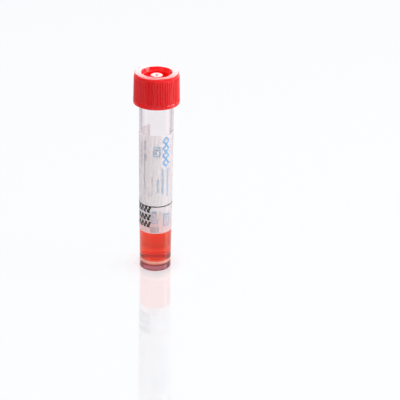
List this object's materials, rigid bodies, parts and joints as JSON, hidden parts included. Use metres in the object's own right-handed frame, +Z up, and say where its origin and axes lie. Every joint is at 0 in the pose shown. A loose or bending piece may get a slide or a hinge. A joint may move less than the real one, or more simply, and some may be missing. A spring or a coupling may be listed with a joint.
{
  "type": "specimen swab tube",
  "caption": "Self-standing specimen transport tube with a ribbed screw cap, wrapped label and liquid medium, made to hold a swab.",
  "frame": {"origin": "centre of the ring the tube stands on, in the plane of the surface below it", "axes": "+Z up along the tube's axis towards the cap; -Y faces the side of the label that is read"},
  "size_m": [0.0218, 0.0218, 0.1],
  "materials": {
    "clear_pp": "clear, slightly hazy moulded polypropylene",
    "red_pe": "glossy moulded polyethylene",
    "label_film": "satin printed film",
    "liquid": "clear pink-red liquid"
  },
  "bodies": {
    "tube_body": {"tube": "clear_pp", "label": "label_film", "medium": "liquid"},
    "cap_body": {"cap": "red_pe"}
  },
  "joints": [
    {"name": "cap_lift", "type": "slide", "parent": "tube_body", "child": "cap_body", "axis": [0, 0, 1], "range_m": [0, 0.04]}
  ]
}
